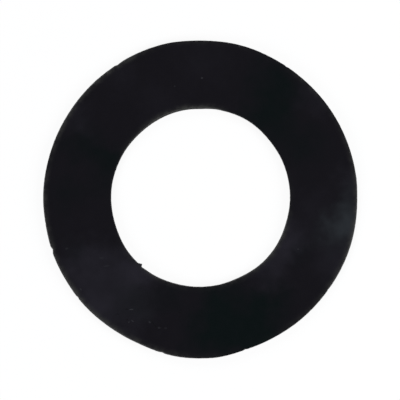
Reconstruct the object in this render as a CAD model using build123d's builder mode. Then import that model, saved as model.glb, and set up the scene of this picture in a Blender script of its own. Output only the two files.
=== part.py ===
# A flat ring gasket, cut out of a sheet of soft black rubber and lying on its underside.
# The origin is on the axis of the hole, at the underside, with Z up through the sheet.
# Lengths are in millimetres. Angles are in degrees, counted anticlockwise from +X, seen from above.
from build123d import *
from math import cos, degrees, pi, radians, sin
import os

# The sheet
sheet_thickness = 3.0

# The rim: a circle, set a little off the hole's axis, as the ring was cut in two strokes
rim_radius = 53.5
rim_offset_x = -0.05
rim_offset_y = -0.26
rim_rounding_top = 0.5
rim_rounding_under = 0.3

# How far the rim strays from its circle at each of its high and low spots: angle, distance.
# The edge eases from one spot to the next. The largest is the bulge on the -Y side.
rim_spots = (
    (0, -0.28),
    (8, -0.17),
    (40, 0.02),
    (58, 0.06),
    (77, 0.28),
    (89, 0.14),
    (104, 0.41),
    (128, -0.02),
    (150, -0.24),
    (177, -0.14),
    (190, -0.24),
    (202, -0.03),
    (213, -0.07),
    (220, 0.0),
    (237, -0.14),
    (243, -0.11),
    (266, 0.73),
    (274, 0.73),
    (290, -0.08),
    (303, -0.18),
    (326, -0.19),
    (336, -0.10),
)
rim_step = 5

# The nicks that a blunt blade left in the rim: angle, depth, width at the mouth
rim_nicks = (
    (56.8, 0.13, 1.4),
    (121.9, 0.24, 3.0),
    (199.1, 0.44, 2.4),
    (218.9, 0.21, 1.6),
    (256.2, 0.20, 2.0),
    (286.6, 0.17, 1.6),
    (324.2, 0.10, 2.5),
)
nick_overrun = 1.0

# The hole: a chain of arcs, all of the blade's own radius, with a slight corner where two meet
hole_radius = 30.35
hole_rounding_top = 0.3
hole_rounding_under = 0.2

# The corners between the arcs: angle, distance of the corner outside the blade's circle
hole_corners = (
    (33, 0.10),
    (62, 0.36),
    (80, 0.24),
    (89, -0.06),
    (113, -0.03),
    (133, -0.19),
    (166, 0.11),
    (190, 0.09),
    (222, 0.39),
    (237, 0.40),
    (249, 0.13),
    (272, -0.08),
    (295, -0.21),
    (311, 0.10),
    (326, 0.12),
    (345, -0.04),
    (357, 0.07),
)

# The nib: a barb of rubber where the cut round the hole closed, steep on its later side
nib_start_angle = 226.3
nib_tip_angle = 228.5
nib_end_angle = 229.4
nib_tip_inside = 0.17
nib_root_outside = 0.41
nib_anchor = 1.0


def around(radius, angle):
    """The point at a distance and an angle from the hole's axis."""
    return Vector(radius * cos(radians(angle)), radius * sin(radians(angle)))


def rim_reach(angle):
    """The rim's distance from the middle of its circle, eased between two spots."""
    first_angle, first_stray = rim_spots[0]
    spots = rim_spots + ((first_angle + 360, first_stray),)
    for (start, low), (end, high) in zip(spots, spots[1:]):
        if start <= angle <= end:
            share = (1 - cos(pi * (angle - start) / (end - start))) / 2
            return rim_radius + low + (high - low) * share


rim_middle = Vector(rim_offset_x, rim_offset_y)
rim_points = [rim_middle + around(rim_reach(angle), angle) for angle in range(0, 360, rim_step)]
hole_points = [around(hole_radius + outside, angle) for angle, outside in hole_corners]

with BuildPart() as gasket_ring:
    # The ring, cut straight down through the sheet
    with BuildSketch():
        with BuildLine():
            Spline(*rim_points, periodic=True)
        make_face()
        with BuildLine():
            for corner, next_corner in zip(hole_points, hole_points[1:] + hole_points[:1]):
                RadiusArc(corner, next_corner, -hole_radius)
        make_face(mode=Mode.SUBTRACT)
    extrude(amount=sheet_thickness)

    # The cut edges, which the blade dragged round
    fillet(gasket_ring.faces().sort_by(Axis.Z)[-1].outer_wire().edges(), rim_rounding_top)
    fillet(gasket_ring.faces().sort_by(Axis.Z)[0].outer_wire().edges(), rim_rounding_under)
    fillet(gasket_ring.faces().sort_by(Axis.Z)[-1].inner_wires()[0].edges(), hole_rounding_top)
    fillet(gasket_ring.faces().sort_by(Axis.Z)[0].inner_wires()[0].edges(), hole_rounding_under)

    # The nicks in the rim
    with BuildSketch():
        for angle, depth, width in rim_nicks:
            reach = rim_reach(angle)
            half_width = degrees(width / 2 / reach)
            with BuildLine():
                Polyline(
                    rim_middle + around(reach - depth, angle),
                    rim_middle + around(reach, angle + half_width),
                    rim_middle + around(reach + nick_overrun, angle + half_width),
                    rim_middle + around(reach + nick_overrun, angle - half_width),
                    rim_middle + around(reach, angle - half_width),
                    close=True,
                )
            make_face()
    extrude(amount=sheet_thickness, mode=Mode.SUBTRACT)

    # The nib in the hole
    with BuildSketch():
        with BuildLine():
            Polyline(
                around(hole_radius - nib_tip_inside, nib_tip_angle),
                around(hole_radius + nib_root_outside, nib_end_angle),
                around(hole_radius + nib_root_outside + nib_anchor, nib_tip_angle),
                around(hole_radius + nib_root_outside, nib_start_angle),
                close=True,
            )
        make_face()
    extrude(amount=sheet_thickness - hole_rounding_top)

gasket_ring.part.label = "gasket_ring"

os.makedirs("parts", exist_ok=True)
export_step(gasket_ring.part, "parts/gasket_ring.step")
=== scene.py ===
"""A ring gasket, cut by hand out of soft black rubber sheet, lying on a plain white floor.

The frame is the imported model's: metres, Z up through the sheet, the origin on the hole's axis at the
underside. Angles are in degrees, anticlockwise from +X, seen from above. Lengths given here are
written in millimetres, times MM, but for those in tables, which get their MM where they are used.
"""

import math

import bpy
from bpy.props import FloatProperty, FloatVectorProperty, IntProperty, PointerProperty
from mathutils import Matrix, Vector, noise


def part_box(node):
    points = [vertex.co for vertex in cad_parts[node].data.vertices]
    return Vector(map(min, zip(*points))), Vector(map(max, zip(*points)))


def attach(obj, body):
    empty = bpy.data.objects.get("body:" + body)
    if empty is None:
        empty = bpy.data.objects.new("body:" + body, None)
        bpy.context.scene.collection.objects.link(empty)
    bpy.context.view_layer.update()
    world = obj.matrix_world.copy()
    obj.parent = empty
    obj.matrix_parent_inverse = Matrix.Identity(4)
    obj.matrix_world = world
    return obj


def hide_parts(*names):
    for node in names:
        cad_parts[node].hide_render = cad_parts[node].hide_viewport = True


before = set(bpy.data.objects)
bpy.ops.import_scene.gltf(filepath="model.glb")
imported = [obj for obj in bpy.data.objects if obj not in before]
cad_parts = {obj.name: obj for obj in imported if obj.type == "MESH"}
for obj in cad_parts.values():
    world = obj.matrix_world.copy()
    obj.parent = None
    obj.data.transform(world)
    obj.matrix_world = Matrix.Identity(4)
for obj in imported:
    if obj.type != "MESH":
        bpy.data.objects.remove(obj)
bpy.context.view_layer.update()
RING_NODE = "gasket_ring"
RING_LOW, RING_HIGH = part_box(RING_NODE)

bl_info = {
    "name": "Rubber Ring Gasket",
    "version": (1, 0, 0),
    "blender": (4, 5, 0),
    "location": "3D View > Sidebar > Gasket",
    "description": "A ring gasket cut by hand out of black rubber sheet, and the stage it lies on",
    "category": "Object",
}

MM = 0.001

# How far the rim strays from its circle at its high and low spots: angle, distance in mm
RIM_SPOTS = (
    (0, -0.33), (8, -0.15), (40, 0.01), (58, 0.01), (77, 0.31), (89, 0.18), (104, 0.47), (128, 0.0),
    (150, -0.22), (177, -0.14), (190, -0.27), (202, -0.10), (213, -0.16), (220, -0.08), (237, -0.16),
    (243, -0.11), (266, 0.81), (274, 0.83), (290, 0.01), (303, -0.11), (326, -0.23), (336, -0.18),
)

# How far the hole's wall strays outwards from its circle: angle, distance in mm
HOLE_SPOTS = (
    (0, 0.09), (27, 0.14), (35, 0.10), (60, 0.38), (78, 0.18), (91, -0.17), (102, -0.05), (133, -0.25),
    (152, -0.06), (175, 0.12), (195, 0.07), (220, 0.43), (231, 0.48), (262, 0.07), (280, -0.02),
    (293, -0.19), (316, 0.15), (324, 0.15), (344, -0.05),
)

# The nicks in the rim: angle, depth and width in mm, share of the width that lies before the deepest point
RIM_NICKS = (
    (56.8, 0.13, 1.4, 0.5),
    (121.9, 0.24, 3.0, 0.75),
    (189.2, 0.07, 1.0, 0.5),
    (199.1, 0.44, 2.4, 0.45),
    (218.9, 0.21, 1.6, 0.5),
    (256.2, 0.20, 2.0, 0.6),
    (286.6, 0.17, 1.6, 0.5),
    (324.2, 0.10, 2.5, 0.2),
)

# The barb in the hole, where the cut round it closed: its two feet and its tip, and how far it reaches in
BARB_START = 226.3
BARB_TIP = 228.75
BARB_END = 229.5
BARB_REACH = 0.74 * MM

# Where the blade ran on past the barb: where it starts, is deepest and ends, and its depth
OVERRUN_START = 229.2
OVERRUN_DEEPEST = 229.9
OVERRUN_END = 232.5
OVERRUN_DEPTH = 0.16 * MM

# How far in from the underside's outline the blade's slant has brought the rim's upper edge: angle, mm. The
# slant also sets how far that edge is worn grey and given a painted highlight
RIM_SLANT = (
    (0, 0.45), (30, 0.3), (46, 0.3), (60, 0.05), (100, 0.2), (122, 0.75), (150, 0.65), (166, 0.4),
    (180, 0.6), (198, 0.55), (222, 0.75), (254, 0.5), (272, 0.15), (286, 0.0), (312, 0.25), (332, 0.45),
    (346, 0.6),
)

# The same for the hole's upper edge, outwards
HOLE_SLANT = (
    (0, 0.1), (30, 0.0), (68, 0.0), (92, 0.7), (112, 0.65), (135, 0.3), (158, 0.0), (195, 0.0),
    (222, 0.2), (240, 0.35), (272, 0.1), (300, 0.45), (330, 0.65),
)

# The slant, in the tables' mm, at which an upper edge is worn fully grey, with a painted highlight where
# the slanting shoulder catches the light, and how far in that reaches
FULL_SLANT = 0.8
RUB_AND_LIGHT_REACH = 2.4 * MM

# How far a nick, the barb or a slanting wall is felt into the sheet
EDGE_DEPTH = 1.6 * MM

# How a slanting wall curves on its way up, and what share of the rim's slant lies outside the outline
SLANT_CURVE = 1.5
SLANT_OUTSIDE = 0.38

# The fine marks that the blade left down the walls: height, size and how much longer than wide they are,
# and how hollow it cut the walls
MARK_HEIGHT = 0.035 * MM
MARK_SIZE = 0.9 * MM
MARK_STRETCH = 7
WALL_HOLLOW = 0.05 * MM

# Rings of points that divide the faces and the walls, and strips of faces across each rounded edge
FACE_RINGS = 14
WALL_RINGS = 4
ROUNDING_STRIPS = 4

# How near a point of the blank lies to a wall that it is on, and the share of the thickness that an edge
# down a wall drops by at least
WALL_SLACK = 0.01 * MM
WALL_DROP = 1 / 3

# The sharpest edge that is shaded smooth
SMOOTH_ANGLE = math.radians(50)

# The slow and the quick waves of the soft sheet: size, share
SHEET_WAVES = (
    (34 * MM, 1.5),
    (13 * MM, 0.3),
)

# Soft patches on the upper face: x, y and reach in mm, and strength. Here the painted sheen of the lamps on
# the wavy sheet, with a faint haze of bloom
SHEEN_AND_HAZE_PATCHES = (
    (-36, -36, 15, 0.85),
    (-39, -22, 12, 0.55),
    (-22, -25, 11, 0.85),
    (-30, -20, 9, 0.30),
    (-31, -27, 9, 0.30),
    (-24, -45, 10, 0.30),
    (-44, -26, 8, 0.30),
    (23, -23, 10, 0.60),
    (30, -15, 10, 0.80),
    (38, -4, 11, 0.22),
    (46, -22, 12, 0.40),
    (50, 6, 9, 0.35),
    (38, 33, 8, 0.25),
    (0, 46, 16, 0.12),
    (-14, 32, 12, 0.15),
    (-28, 42, 9, 0.20),
    (-43, 27, 9, 0.30),
)
# Painted highlight, with the same values: the lamps' reflection, brightest near the right of the rim
PAINTED_HIGHLIGHT_PATCHES = (
    (50, -9, 11, 1.00),
    (42, -14, 8, 0.20),
    (52, 1, 8, 0.25),
    (-22, -37, 12, 0.18),
)
# Painted shade, with the same values: darker patches where the lamps' sheen falls off
PAINTED_SHADE_PATCHES = (
    (14, -45, 15, 1.00),
    (20, -46, 11, 0.50),
    (2, -46, 13, 0.90),
    (7, -34, 12, 0.85),
    (20, -35, 9, 0.45),
    (25, -36, 11, 0.60),
    (26, 37, 15, 0.90),
    (22, 25, 13, 0.80),
    (34, 17, 13, 0.55),
    (-41, 18, 11, 0.60),
    (-32, 12, 10, 0.60),
    (-33, 16, 7, 0.30),
    (-34, 4, 8, 0.30),
    (34, -18, 7, 0.40),
    (-45, 1, 10, 0.40),
    (-42, -18, 6, 0.45),
    (-10, -33, 8, 0.40),
)

# How uneven the edges of the patches are: the size of their lobes and how far these reach
PATCH_EDGE_SIZE = 6 * MM
PATCH_EDGE_REACH = 12 * MM

# The shares of the thickness between which the plain underside gives way to the upper face's patches of
# painted sheen, highlight and shade
UPPER_FACE = (0.4, 0.8)

# Dust and lint on the upper face: x, y, length and width in mm, turn in degrees, strength
SPECKS = (
    (13.2, 51.2, 0.5, 0.4, 0, 0.9),
    (0.5, 40.5, 0.7, 0.4, 0, 0.9),
    (-8.7, 37.7, 0.5, 0.4, 0, 0.3),
    (-45.3, -17.4, 1.1, 0.7, 15, 0.22),
    (33.0, -17.6, 0.7, 0.4, 0, 0.4),
    (-33.5, -20.6, 1.8, 0.5, 0, 0.20),
    (-31.8, -23.3, 2.2, 0.5, 8, 0.20),
    (-40.5, -31.2, 0.9, 0.5, -45, 0.35),
    (-23.4, -38.0, 1.5, 0.4, 5, 0.60),
    (-24.2, -42.3, 0.7, 0.4, 60, 0.40),
    (-23.0, -41.9, 1.1, 0.4, -40, 0.45),
    (-17.2, -42.3, 0.8, 0.6, -30, 0.40),
    (-14.0, -44.2, 1.0, 0.7, 0, 0.25),
    (-11.8, -44.3, 1.0, 0.6, 0, 0.16),
)

# Fine scratches in the upper face, with the same values
SCRATCHES = (
    (-15.5, -43.3, 4.4, 0.35, -55, 0.8),
    (-25.0, -37.9, 1.1, 0.40, 0, 0.7),
    (-24.8, -41.5, 0.7, 0.50, 20, 0.6),
    (-28.0, -39.6, 1.6, 0.35, 0, 0.4),
    (-7.0, -39.0, 2.2, 0.40, -20, 0.3),
)

# The shares of its half length and half width between which a speck or a scratch fades out
OVAL_FADE = (0.5, 1.3)

# What varies over the rubber: size of the lumps, levels of finer detail in them
CLOUDS = (9 * MM, 3)
MOTTLE = (2.2 * MM, 3)
GRAIN = (0.45 * MM, 2)
PORES = (0.14 * MM, 1)
STREAKS = (0.7 * MM, 2)

# How much longer than wide the streaks down a cut wall are
STREAK_STRETCH = 8

# The middle of the streaks' and the mottling's noise, which is stretched to run from 0 to 1
NOISE_MIDDLE = (0.3, 0.7)

# How far the clouds thin and thicken the patches, and how far clouds and mottling shift the painted sheen
# and haze
PATCH_SPREAD = (0.6, 1.4)
SHEEN_AND_HAZE_SPREAD = (-0.05, 0.05)

# How bare the streaks leave the cut walls, and how bare the mottling leaves the upper edges, worn grey with
# a painted highlight
WALL_SPREAD = (0.3, 1.5)
RUB_AND_LIGHT_SPREAD = (0.2, 1.0)

# How far the mottling shifts the roughness, and how much rougher cut walls and dust are
ROUGH_SPREAD = (-0.06, 0.06)
ROUGHER = 0.2

# Heights in the relief, as shares of the grain's, which is also the dust's
PORE_HEIGHT = 0.5
MOTTLE_HEIGHT = 0.6
STREAK_HEIGHT = 1.5
SCRATCH_HEIGHT = -2

# Plain white, and the floor's own white under the lamps
WHITE = (1, 1, 1, 1)
FLOOR_WHITE = (0.97, 0.97, 0.97, 1)

# The distances from the hole's axis between which the ring's shadow on the floor fades out
SHADOW_FADE = (70 * MM, 200 * MM)

# The nearest distance that the camera shows
CAMERA_NEAR = 10 * MM

# The lamps round the ring: name, place in metres, power in watts, colour
LAMPS = (
    ("lamp_right", (0.75, -0.12, 0.55), 6.0, (1.0, 1.0, 1.0)),
    ("lamp_left", (-0.6, -0.55, 0.6), 5.0, (0.95, 0.95, 1.0)),
    ("lamp_back", (-0.2, 0.8, 0.7), 4.0, (1.0, 1.0, 1.0)),
)


def eased(spots, angle):
    """The value at an angle, eased from each listed spot to the next, all the way round."""
    first_angle, first_value = spots[0]
    closed = spots + ((first_angle + 360, first_value),)
    for (start, low), (end, high) in zip(closed, closed[1:]):
        if start <= angle <= end:
            share = (1 - math.cos(math.pi * (angle - start) / (end - start))) / 2
            return low + (high - low) * share
    raise ValueError(f"no spot covers {angle} degrees")


def slope_share(value, start, peak, end):
    """0 outside start and end, 1 at the peak, straight in between."""
    if value <= start or value >= end:
        return 0.0
    if value <= peak:
        return (value - start) / (peak - start)
    return (end - value) / (end - peak)


def nick_depth(angle, rim_radius):
    """How deep the rim is nicked at an angle, in metres."""
    deepest = 0.0
    for middle, depth, width, before in RIM_NICKS:
        span = math.degrees(width * MM / rim_radius)
        start = middle - span * before
        deepest = max(deepest, depth * MM * slope_share(angle, start, middle, start + span))
    return deepest


def smooth(share):
    """0 to 1 with soft ends."""
    share = min(max(share, 0.0), 1.0)
    return share * share * (3 - 2 * share)


def polar(point):
    """A point's distance from the hole's axis and its angle."""
    return math.hypot(point.x, point.y), math.degrees(math.atan2(point.y, point.x)) % 360


def only(name, maker, **settings):
    """Deselects everything, runs one operator that adds an object, and names what it adds."""
    bpy.ops.object.select_all(action="DESELECT")
    maker(**settings)
    made = bpy.context.active_object
    made.name = name
    made.data.name = name
    return made


class Field:
    """A socket whose value varies over the surface, so that shader maths reads as plain expressions."""

    def __init__(self, graph, socket):
        self.graph = graph
        self.socket = socket

    def __add__(self, other):
        return self.graph.maths("ADD", self, other)

    __radd__ = __add__

    def __sub__(self, other):
        return self.graph.maths("SUBTRACT", self, other)

    def __rsub__(self, other):
        return self.graph.maths("SUBTRACT", other, self)

    def __mul__(self, other):
        return self.graph.maths("MULTIPLY", self, other)

    __rmul__ = __mul__

    def clamped(self):
        """The value held between 0 and 1."""
        return self.graph.add("ShaderNodeClamp", values={"Value": self})

    def spread(self, low, high):
        """A value from 0 to 1 spread from low to high."""
        return self * (high - low) + low

    def between(self, low, high):
        """0 below low, 1 above high, with soft ends."""
        return self.graph.add(
            "ShaderNodeMapRange",
            {"interpolation_type": "SMOOTHSTEP"},
            {"Value": self, "From Min": low, "From Max": high},
        )


class Graph:
    """The nodes of one material or of the world."""

    def __init__(self, owner):
        owner.use_nodes = True
        self.owner = owner
        self.nodes = owner.node_tree.nodes
        self.links = owner.node_tree.links
        self.nodes.clear()

    def add(self, kind, settings=None, values=None, output=0):
        """Adds a node, sets it up, fills its sockets by name or number, and returns one of its outputs."""
        node = self.nodes.new(kind)
        for setting, value in (settings or {}).items():
            setattr(node, setting, value)
        for socket, value in (values or {}).items():
            self.fill(node.inputs[socket], value)
        return Field(self, node.outputs[output])

    def fill(self, socket, value):
        """Links a socket to a field, or gives it a constant."""
        if isinstance(value, Field):
            self.links.new(value.socket, socket)
        else:
            socket.default_value = value

    def maths(self, operation, first, second):
        """One operation on two numbers, at least one of which is a field."""
        return self.add("ShaderNodeMath", {"operation": operation}, {0: first, 1: second})

    def place(self):
        """The point on the piece, in its own coordinates."""
        return self.add("ShaderNodeTexCoord", output="Object")

    def stored(self, name):
        """A number stored at the piece's points."""
        return self.add("ShaderNodeAttribute", {"attribute_name": name}, output="Fac")

    def distance(self, place, point):
        """How far a place is from a point."""
        return self.add("ShaderNodeVectorMath", {"operation": "DISTANCE"}, {0: place, 1: point}, "Value")

    def mapped(self, place, kind, location, rotation, scale):
        """A place moved, turned and stretched."""
        return self.add(
            "ShaderNodeMapping", {"vector_type": kind},
            {"Vector": place, "Location": location, "Rotation": rotation, "Scale": scale},
        )

    def noise(self, place, size, detail):
        """Noise from 0 to 1 whose lumps are about as large as size, with some levels of finer detail."""
        return self.add("ShaderNodeTexNoise", values={"Vector": place, "Scale": 1 / size, "Detail": detail})

    def shifted(self, place, size, reach):
        """A place pushed about by noise, by up to half of reach, which makes edges uneven."""
        lumps = self.add("ShaderNodeTexNoise", values={"Vector": place, "Scale": 1 / size}, output="Color")
        pushed = self.add(
            "ShaderNodeVectorMath", {"operation": "MULTIPLY_ADD"}, {0: lumps, 1: (reach,) * 3, 2: place},
        )
        return self.add("ShaderNodeVectorMath", {"operation": "SUBTRACT"}, {0: pushed, 1: (reach / 2,) * 3})

    def mix(self, share, first, second):
        """A colour between two colours."""
        values = {"Factor": share, "A": first, "B": second}
        return self.add("ShaderNodeMix", {"data_type": "RGBA"}, values, "Result")

    def seen_directly(self):
        """1 for what the camera sees, also in a mirror or through glass, and 0 for light on things."""
        kinds = ("Is Camera Ray", "Is Glossy Ray", "Is Transmission Ray")
        camera, glossy, through = (self.add("ShaderNodeLightPath", output=kind) for kind in kinds)
        return (camera + glossy + through).clamped()

    def finish(self, kind, shader):
        """Makes a shader the surface of the material or the world, and returns that."""
        output = self.nodes.new(kind)
        self.fill(output.inputs["Surface"], shader)
        return self.owner


class RingSizes(bpy.types.PropertyGroup):
    """Sizes of the ring."""

    rim_diameter: FloatProperty(
        name="Rim", description="Diameter of the circle that the rim keeps to",
        default=107 * MM, min=10 * MM, unit="LENGTH",
    )
    hole_diameter: FloatProperty(
        name="Hole", description="Diameter of the circle that the hole's wall keeps to",
        default=60.46 * MM, min=5 * MM, unit="LENGTH",
    )
    thickness: FloatProperty(
        name="Thickness", description="Thickness of the sheet",
        default=RING_HIGH.z - RING_LOW.z, min=0.5 * MM, unit="LENGTH",
    )
    rim_offset: FloatVectorProperty(
        name="Rim offset", description="How far the rim's circle lies from the hole's axis",
        size=2, default=(-0.05 * MM, -0.26 * MM), unit="LENGTH", subtype="XYZ",
    )
    rounding: FloatProperty(
        name="Rounding", description="How far the blade dragged the cut edges round",
        default=0.45 * MM, min=0.05 * MM, unit="LENGTH",
    )
    wave: FloatProperty(
        name="Wave", description="How far the upper face rises and falls",
        default=0.16 * MM, min=0, unit="LENGTH",
    )
    steps_round: IntProperty(
        name="Steps round", description="Points round each edge", default=1440, min=90, max=1750,
    )


class RubberFinish(bpy.types.PropertyGroup):
    """Colours and gloss of the rubber."""

    rubber: FloatVectorProperty(
        name="Rubber", description="Colour of the clean face",
        size=3, default=(0.0040, 0.0036, 0.0053), subtype="COLOR", min=0, max=1,
    )
    # Painted shade where the lamps' sheen falls off the upper face
    painted_shade: FloatVectorProperty(
        name="Wiped", description="Colour of the face where a hand or a cloth has wiped it",
        size=3, default=(0.0006, 0.0023, 0.0026), subtype="COLOR", min=0, max=1,
    )
    # Painted sheen of the lamps on the upper face, with a faint haze of bloom
    sheen_and_haze: FloatVectorProperty(
        name="Haze", description="Colour of the thin haze that the rubber has sweated out",
        size=3, default=(0.0135, 0.0127, 0.0175), subtype="COLOR", min=0, max=1,
    )
    # Painted highlight of the lamps' reflection on the upper face
    painted_highlight: FloatVectorProperty(
        name="Chalk", description="Colour of the chalk that the sheet was dusted with",
        size=3, default=(0.0185, 0.0215, 0.0250), subtype="COLOR", min=0, max=1,
    )
    # Also the colour of the upper edges' wear and painted highlight
    cut: FloatVectorProperty(
        name="Cut wall", description="Colour of the cut walls",
        size=3, default=(0.027, 0.027, 0.026), subtype="COLOR", min=0, max=1,
    )
    dust: FloatVectorProperty(
        name="Dust", description="Colour of the specks of dust and lint",
        size=3, default=(0.035, 0.036, 0.040), subtype="COLOR", min=0, max=1,
    )
    scratch: FloatVectorProperty(
        name="Scratch", description="Colour at the bottom of the fine scratches",
        size=3, default=(0.0008, 0.0009, 0.0014), subtype="COLOR", min=0, max=1,
    )
    relief: FloatProperty(
        name="Relief", description="Height of the grain, the mottling and the marks",
        default=0.05 * MM, min=0, unit="LENGTH",
    )
    bumpiness: FloatProperty(
        name="Bumpiness", description="How strongly that relief catches the light",
        default=0.6, min=0, max=1,
    )
    roughness: FloatProperty(
        name="Roughness", description="Roughness of the clean face", default=0.46, min=0, max=1,
    )
    gloss: FloatProperty(
        name="Gloss", description="Strength of the reflections", default=0.04, min=0, max=1,
    )


class StageSettings(bpy.types.PropertyGroup):
    """The floor, the lamps and the camera."""

    floor_size: FloatProperty(
        name="Floor", description="Side of the floor", default=6.0, min=0.5, unit="LENGTH",
    )
    shadow_share: FloatProperty(
        name="Shadow", description="Share of the floor's white that the lamps give, and a shadow takes",
        default=0.10, min=0, max=1,
    )
    room_light: FloatProperty(
        name="Room light", description="Strength of the even light from all round", default=0.22, min=0,
    )
    room_colour: FloatVectorProperty(
        name="Room colour", description="Colour of the even light from all round",
        size=3, default=(0.86, 0.9, 1.0), subtype="COLOR", min=0, max=1,
    )
    lamp_size: FloatProperty(
        name="Lamps", description="Side of each square lamp", default=0.5, min=0.01, unit="LENGTH",
    )
    camera_distance: FloatProperty(
        name="Camera distance", description="From the camera to the sheet",
        default=0.8, min=0.1, unit="LENGTH",
    )
    camera_tilt: FloatProperty(
        name="Camera tilt", description="How far the camera leans from straight above",
        default=math.radians(2.5), unit="ROTATION", subtype="ANGLE",
    )
    camera_side: FloatProperty(
        name="Camera side", description="The side that the camera leans to",
        default=math.radians(285), unit="ROTATION", subtype="ANGLE",
    )
    field_width: FloatProperty(
        name="Field", description="What the picture takes in across the upper face",
        default=135.5 * MM, min=10 * MM, unit="LENGTH",
    )
    aim: FloatVectorProperty(
        name="Aim", description="The point of the upper face in the middle of the picture",
        size=2, default=(-0.16 * MM, -0.96 * MM), unit="LENGTH", subtype="XYZ",
    )


def ring_blank(sizes):
    """The ring as a plain solid: two circles bridged, pulled down to the thickness, and bevelled."""
    rim_radius = sizes.rim_diameter / 2
    hole_radius = sizes.hole_diameter / 2
    top = (0, 0, sizes.thickness)

    def on_wall(point):
        """Whether a point of the blank lies on a cut wall."""
        radius, _ = polar(point)
        return min(abs(radius - rim_radius), abs(radius - hole_radius)) < WALL_SLACK

    def along_corner(start, end):
        """Whether an edge runs where a wall meets a face."""
        return on_wall(start) and on_wall(end) and start.z == end.z

    def down_wall(start, end):
        """Whether an edge runs down a wall."""
        return abs(start.z - end.z) > sizes.thickness * WALL_DROP

    ring = only(
        "hand_cut_ring", bpy.ops.mesh.primitive_circle_add,
        vertices=sizes.steps_round, radius=hole_radius, location=top,
    )
    bpy.ops.object.mode_set(mode="EDIT")
    bpy.ops.mesh.select_all(action="DESELECT")
    bpy.ops.mesh.primitive_circle_add(vertices=sizes.steps_round, radius=rim_radius, location=top)
    bpy.ops.mesh.select_all(action="SELECT")
    bpy.ops.mesh.bridge_edge_loops(number_cuts=FACE_RINGS, interpolation="LINEAR")
    bpy.ops.mesh.select_all(action="SELECT")
    bpy.ops.mesh.extrude_region_move(TRANSFORM_OT_translate={"value": (0, 0, -sizes.thickness)})
    bpy.ops.mesh.select_all(action="SELECT")
    bpy.ops.mesh.normals_make_consistent(inside=False)
    select_edges(ring, along_corner)
    bpy.ops.mesh.bevel(offset=sizes.rounding, segments=ROUNDING_STRIPS, clamp_overlap=True)
    select_edges(ring, down_wall)
    bpy.ops.mesh.subdivide_edgering(number_cuts=WALL_RINGS)
    bpy.ops.object.mode_set(mode="OBJECT")
    bpy.ops.object.transform_apply(location=True, rotation=True, scale=True)
    return ring


def select_edges(piece, wanted):
    """Selects the edges, in edit mode, whose two ends pass a test."""
    bpy.ops.mesh.select_mode(type="EDGE")
    bpy.ops.mesh.select_all(action="DESELECT")
    bpy.ops.object.mode_set(mode="OBJECT")
    mesh = piece.data
    for edge in mesh.edges:
        start, end = (mesh.vertices[number].co for number in edge.vertices)
        edge.select = wanted(start, end)
    bpy.ops.object.mode_set(mode="EDIT")


def cut_by_hand(ring, sizes):
    """Moves the blank's points to the true outline, and gives the upper face and the walls their waver."""
    rim_radius = sizes.rim_diameter / 2
    hole_radius = sizes.hole_diameter / 2
    for vertex in ring.data.vertices:
        radius, angle = polar(vertex.co)
        from_rim = rim_radius - radius
        from_hole = radius - hole_radius
        share = from_hole / (rim_radius - hole_radius)
        height = vertex.co.z / sizes.thickness
        moved = radius + MM * (eased(RIM_SPOTS, angle) * share + eased(HOLE_SPOTS, angle) * (1 - share))
        moved -= nick_depth(angle, rim_radius) * (1 - smooth(from_rim / EDGE_DEPTH))
        barb = BARB_REACH * slope_share(angle, BARB_START, BARB_TIP, BARB_END)
        overrun = OVERRUN_DEPTH * slope_share(angle, OVERRUN_START, OVERRUN_DEEPEST, OVERRUN_END)
        moved += (overrun - barb) * (1 - smooth(from_hole / EDGE_DEPTH))
        moved += blade_waver(vertex.co, angle, height, from_rim, from_hole)
        side = vertex.co.xy.normalized() * moved + Vector(sizes.rim_offset) * share
        vertex.co = (side.x, side.y, vertex.co.z + sizes.wave * height * sheet_wave(side))


def blade_waver(point, angle, height, from_rim, from_hole):
    """The walls' own shape: the blade's slant, a shallow hollow and fine marks down the wall."""
    near_rim = 1 - smooth(from_rim / EDGE_DEPTH)
    near_hole = 1 - smooth(from_hole / EDGE_DEPTH)
    marks = MARK_HEIGHT * noise.noise(Vector((point.x, point.y, point.z / MARK_STRETCH)) / MARK_SIZE)
    bow = 4 * height * (1 - height)
    hollow = WALL_HOLLOW * bow
    rim_slant = eased(RIM_SLANT, angle) * MM * (height ** SLANT_CURVE - SLANT_OUTSIDE)
    hole_slant = eased(HOLE_SLANT, angle) * MM * height ** SLANT_CURVE
    return near_rim * (marks - hollow - rim_slant) + near_hole * (marks + hollow + hole_slant)


def sheet_wave(side):
    """The rise and fall of the soft sheet at a point, each wave from a layer of the noise of its own."""
    return sum(share * noise.noise(Vector((*side, size)) / size) for size, share in SHEET_WAVES)


def mark_edges(ring, sizes):
    """Stores, at each point, how much of it is cut wall, how far in it lies and how much worn grey and
    painted highlight it gets on an upper edge.
    """
    rim_radius = sizes.rim_diameter / 2
    hole_radius = sizes.hole_diameter / 2
    cut = ring.data.attributes.new("cut", "FLOAT", "POINT")
    inset = ring.data.attributes.new("inset", "FLOAT", "POINT")
    rubbed_and_lit = ring.data.attributes.new("rubbed_and_lit", "FLOAT", "POINT")
    for number, vertex in enumerate(ring.data.vertices):
        radius, angle = polar(vertex.co)
        z = vertex.co.z
        from_rim = rim_radius - radius
        from_hole = radius - hole_radius
        slants = RIM_SLANT if from_rim < from_hole else HOLE_SLANT
        cut.data[number].value = smooth(min(z, sizes.thickness - z) / sizes.rounding)
        inset.data[number].value = min(from_rim, from_hole)
        rubbed_and_lit.data[number].value = eased(slants, angle) / FULL_SLANT * z / sizes.thickness


def patches(graph, place, spots, height):
    """The sum of soft round patches at a height: each is x, y and reach in mm, and strength."""
    total = 0.0
    for x, y, reach, strength in spots:
        away = graph.distance(place, (x * MM, y * MM, height))
        total = total + strength * (1 - away.between(0, reach * MM))
    return total


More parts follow.
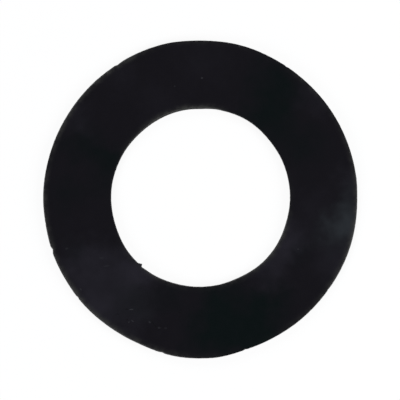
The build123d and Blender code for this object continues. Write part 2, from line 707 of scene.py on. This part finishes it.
def oval_marks(graph, place, spots, height):
    """The sum of small oval marks at a height: 1 in the middle of a strong one, 0 on bare rubber."""
    total = 0.0
    for x, y, length, width, turn, strength in spots:
        own = graph.mapped(
            place, "TEXTURE", (x * MM, y * MM, height), (0, 0, math.radians(turn)),
            (length / 2 * MM, width / 2 * MM, MM),
        )
        total = total + strength * (1 - graph.distance(own, (0, 0, 0)).between(*OVAL_FADE))
    return total.clamped()


def face_colour(graph, finish, place, mottle, thickness):
    """The faces' colour: a bluish black, and in patches on the upper face painted sheen with a faint haze
    of bloom, a painted highlight and painted shade.
    """
    height = graph.add("ShaderNodeSeparateXYZ", values={0: place}, output="Z")
    upper = height.between(*(share * thickness for share in UPPER_FACE))
    clouds = graph.noise(place, *CLOUDS)
    uneven = upper * clouds.spread(*PATCH_SPREAD)
    shifted = graph.shifted(place, PATCH_EDGE_SIZE, PATCH_EDGE_REACH)
    # Painted sheen of the lamps, with a faint haze of bloom
    sheen_and_haze = patches(graph, shifted, SHEEN_AND_HAZE_PATCHES, thickness) * uneven
    sheen_and_haze = sheen_and_haze + mottle.spread(*SHEEN_AND_HAZE_SPREAD) + clouds.spread(*SHEEN_AND_HAZE_SPREAD)
    # Painted highlight of the lamps' reflection
    painted_highlight = patches(graph, shifted, PAINTED_HIGHLIGHT_PATCHES, thickness) * uneven
    # Painted shade where the sheen falls off
    painted_shade = patches(graph, shifted, PAINTED_SHADE_PATCHES, thickness) * uneven
    colour = graph.mix(painted_shade.clamped(), (*finish.rubber, 1), (*finish.painted_shade, 1))
    colour = graph.mix(sheen_and_haze.clamped(), colour, (*finish.sheen_and_haze, 1))
    return graph.mix(painted_highlight.clamped(), colour, (*finish.painted_highlight, 1))


def rubber_material(finish, thickness):
    """Soft black rubber: painted sheen with a faint haze, a painted highlight and painted shade on the
    upper face, greyer walls, upper edges worn grey with a painted highlight, scratches, dust and grain.
    """
    graph = Graph(bpy.data.materials.new("black_rubber"))
    place = graph.place()
    mottle = graph.noise(place, *MOTTLE)
    grain = graph.noise(place, *GRAIN)
    pores = graph.noise(place, *PORES)
    flattened = graph.mapped(place, "POINT", (0, 0, 0), (0, 0, 0), (1, 1, 1 / STREAK_STRETCH))
    streaks = graph.noise(flattened, *STREAKS)

    cut = graph.stored("cut")
    # Upper edges worn grey, with a painted highlight where the slanting shoulder catches the light
    rubbed_and_lit = graph.stored("rubbed_and_lit") * (1 - graph.stored("inset").between(0, RUB_AND_LIGHT_REACH))
    bare_and_lit = cut * streaks.between(*NOISE_MIDDLE).spread(*WALL_SPREAD)
    bare_and_lit = bare_and_lit + rubbed_and_lit * mottle.between(*NOISE_MIDDLE).spread(*RUB_AND_LIGHT_SPREAD)
    dust = oval_marks(graph, place, SPECKS, thickness)
    scratched = oval_marks(graph, place, SCRATCHES, thickness)

    colour = face_colour(graph, finish, place, mottle, thickness)
    colour = graph.mix(bare_and_lit.clamped(), colour, (*finish.cut, 1))
    colour = graph.mix(scratched, colour, (*finish.scratch, 1))
    colour = graph.mix(dust, colour, (*finish.dust, 1))
    roughness = finish.roughness + mottle.spread(*ROUGH_SPREAD) + ROUGHER * (cut + dust)
    relief = grain + PORE_HEIGHT * pores + MOTTLE_HEIGHT * mottle + STREAK_HEIGHT * cut * streaks
    relief = relief + dust + SCRATCH_HEIGHT * scratched
    bump = graph.add(
        "ShaderNodeBump",
        values={"Strength": finish.bumpiness, "Distance": finish.relief, "Height": relief},
    )
    shader = graph.add(
        "ShaderNodeBsdfPrincipled",
        values={
            "Base Color": colour,
            "Roughness": roughness.clamped(),
            "Specular IOR Level": finish.gloss,
            "Normal": bump,
        },
    )
    return graph.finish("ShaderNodeOutputMaterial", shader)


def floor_material(shadow_share):
    """A floor that is plain white to the eye, but for a lit share near the ring, which the ring shades."""
    graph = Graph(bpy.data.materials.new("white_floor"))
    lit = graph.add("ShaderNodeBsdfDiffuse", values={"Color": FLOOR_WHITE})
    plain = graph.add("ShaderNodeEmission", values={"Color": WHITE, "Strength": 1.0})
    far = graph.distance(graph.place(), (0, 0, 0)).between(*SHADOW_FADE)
    share = graph.seen_directly() * (1 - shadow_share * (1 - far))
    shader = graph.add("ShaderNodeMixShader", values={0: share, 1: lit, 2: plain})
    return graph.finish("ShaderNodeOutputMaterial", shader)


def soft_lamp(name, place, size, power, colour):
    """A large square lamp that faces the ring."""
    bpy.ops.object.select_all(action="DESELECT")
    bpy.ops.object.light_add(type="AREA", location=place)
    lamp = bpy.context.active_object
    lamp.name = name
    lamp.data.shape = "SQUARE"
    lamp.data.size = size
    lamp.data.energy = power
    lamp.data.color = colour
    lamp.rotation_mode = "QUATERNION"
    lamp.rotation_quaternion = (-Vector(place)).to_track_quat("-Z", "Y")


def place_camera(stage, face_height):
    """Sets the camera above the ring, leaning a little, with +Y up in the picture."""
    tilt, side = stage.camera_tilt, stage.camera_side
    aim = Vector((*stage.aim, face_height))
    back = Vector((math.sin(tilt) * math.cos(side), math.sin(tilt) * math.sin(side), math.cos(tilt)))
    right = Vector((0, 1, 0)).cross(back).normalized()
    up = back.cross(right)
    bpy.ops.object.select_all(action="DESELECT")
    bpy.ops.object.camera_add()
    camera = bpy.context.active_object
    camera.name = "camera_above"
    turned = Matrix((right, up, back)).transposed().to_4x4()
    camera.matrix_world = Matrix.Translation(aim + back * stage.camera_distance) @ turned
    camera.data.lens = camera.data.sensor_width * stage.camera_distance / stage.field_width
    camera.data.clip_start = CAMERA_NEAR
    bpy.context.scene.camera = camera


def white_world(stage):
    """A world that is plain white to the eye, and lights the ring dimly and evenly."""
    graph = Graph(bpy.data.worlds.new("white_room"))
    room = {"Color": (*stage.room_colour, 1), "Strength": stage.room_light}
    dim = graph.add("ShaderNodeBackground", values=room)
    plain = graph.add("ShaderNodeBackground", values={"Color": WHITE, "Strength": 1.0})
    shader = graph.add("ShaderNodeMixShader", values={0: graph.seen_directly(), 1: dim, 2: plain})
    bpy.context.scene.world = graph.finish("ShaderNodeOutputWorld", shader)


class GASKET_OT_ring(bpy.types.Operator):
    """Build the hand-cut rubber ring"""

    bl_idname = "gasket.ring"
    bl_label = "Ring"

    def execute(self, context):
        sizes = context.scene.ring_sizes
        ring = ring_blank(sizes)
        mark_edges(ring, sizes)
        cut_by_hand(ring, sizes)
        bpy.ops.object.shade_smooth_by_angle(angle=SMOOTH_ANGLE)
        ring.data.materials.append(rubber_material(context.scene.rubber_finish, sizes.thickness))
        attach(ring, "root")
        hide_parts(RING_NODE)
        return {"FINISHED"}


class GASKET_OT_stage(bpy.types.Operator):
    """Lay the white floor and set up the lamps and the camera"""

    bl_idname = "gasket.stage"
    bl_label = "Stage"

    def execute(self, context):
        stage = context.scene.gasket_stage
        floor = only("floor", bpy.ops.mesh.primitive_plane_add, size=stage.floor_size)
        floor.data.materials.append(floor_material(stage.shadow_share))
        white_world(stage)
        for name, place, power, colour in LAMPS:
            soft_lamp(name, place, stage.lamp_size, power, colour)
        place_camera(stage, context.scene.ring_sizes.thickness)
        context.scene.view_settings.view_transform = "Standard"
        return {"FINISHED"}


class GASKET_PT_panel(bpy.types.Panel):
    """Lists the ring's sizes and finish and the stage"""

    bl_idname = "GASKET_PT_panel"
    bl_label = "Gasket"
    bl_space_type = "VIEW_3D"
    bl_region_type = "UI"
    bl_category = "Gasket"

    def draw(self, context):
        scene = context.scene
        groups = (
            ("gasket.ring", (scene.ring_sizes, scene.rubber_finish)),
            ("gasket.stage", (scene.gasket_stage,)),
        )
        for operator, settings in groups:
            box = self.layout.box()
            for group in settings:
                for name in group.__annotations__:
                    box.prop(group, name)
            box.operator(operator)


CLASSES = (RingSizes, RubberFinish, StageSettings, GASKET_OT_ring, GASKET_OT_stage, GASKET_PT_panel)


def register():
    """Makes the operators, the panel and the settings known."""
    for item in CLASSES:
        bpy.utils.register_class(item)
    bpy.types.Scene.ring_sizes = PointerProperty(type=RingSizes)
    bpy.types.Scene.rubber_finish = PointerProperty(type=RubberFinish)
    bpy.types.Scene.gasket_stage = PointerProperty(type=StageSettings)


def unregister():
    """Takes the operators, the panel and the settings away again."""
    del bpy.types.Scene.gasket_stage
    del bpy.types.Scene.rubber_finish
    del bpy.types.Scene.ring_sizes
    for item in reversed(CLASSES):
        bpy.utils.unregister_class(item)


def main():
    """Builds the ring and the stage."""
    register()
    bpy.ops.gasket.ring()
    bpy.ops.gasket.stage()


if __name__ == "__main__":
    main()
